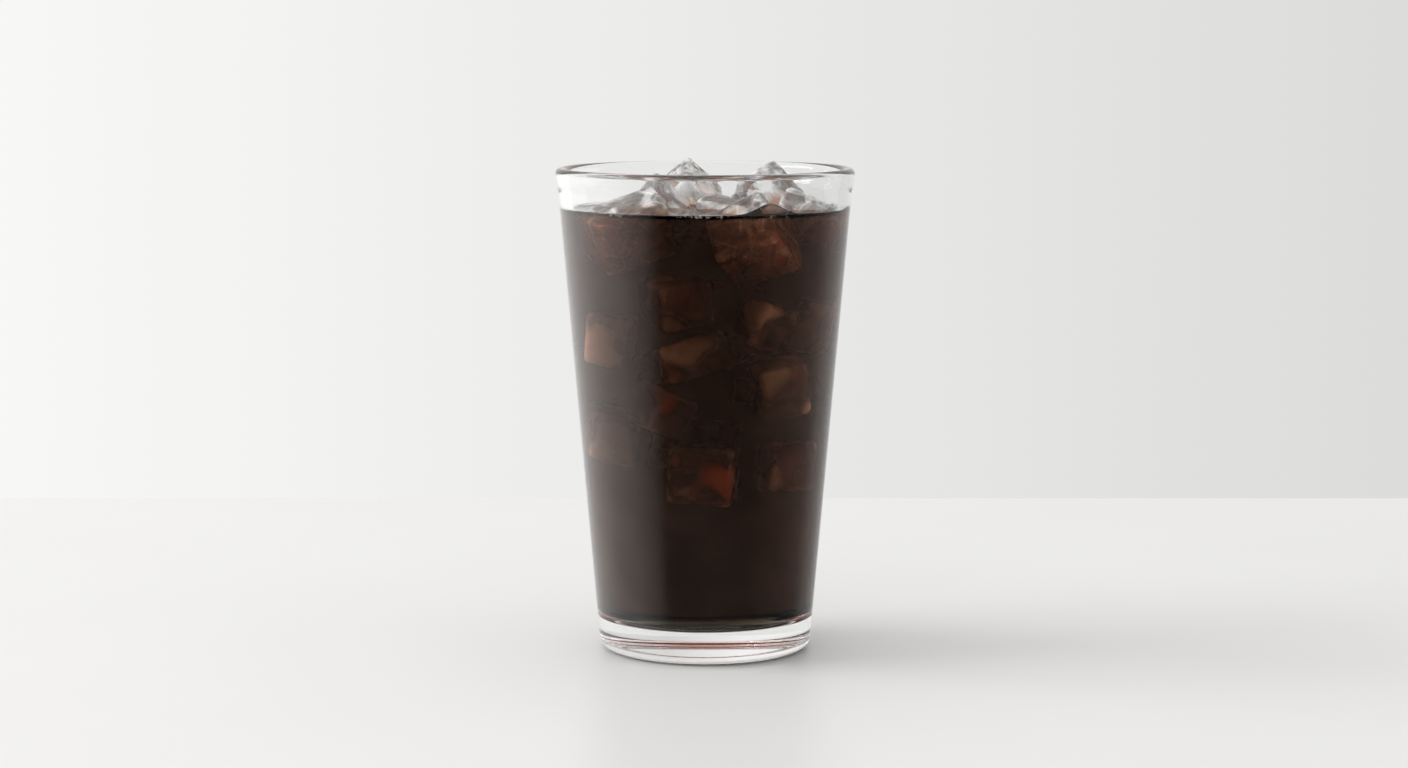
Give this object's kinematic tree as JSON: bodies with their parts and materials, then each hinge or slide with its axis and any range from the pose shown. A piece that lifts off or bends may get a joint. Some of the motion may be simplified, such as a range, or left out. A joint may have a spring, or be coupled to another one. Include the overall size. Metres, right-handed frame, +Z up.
{
  "type": "iced coffee in a glass",
  "caption": "Black coffee served over ice cubes in a tall clear glass whose plain straight sides widen from a thick foot to a slightly flared mouth.",
  "frame": {"origin": "middle of the ring on which the glass stands, at the surface it stands on", "axes": "+Z up along the glass's axis, -Y towards the front, +X to the right seen from the front"},
  "size_m": [0.0898, 0.0898, 0.1467],
  "materials": {
    "glass": "clear, fire-polished",
    "coffee": "dark liquid, glossy and nearly opaque",
    "ice": "wet clear ice with a faintly cloudy core"
  },
  "bodies": {
    "root": {"glass": "glass", "coffee": "coffee", "ice_left": "ice", "ice_back_left": "ice", "ice_back": "ice", "ice_back_right": "ice", "ice_front": "ice", "ice_right": "ice", "ice_middle": "ice"}
  },
  "joints": []
}
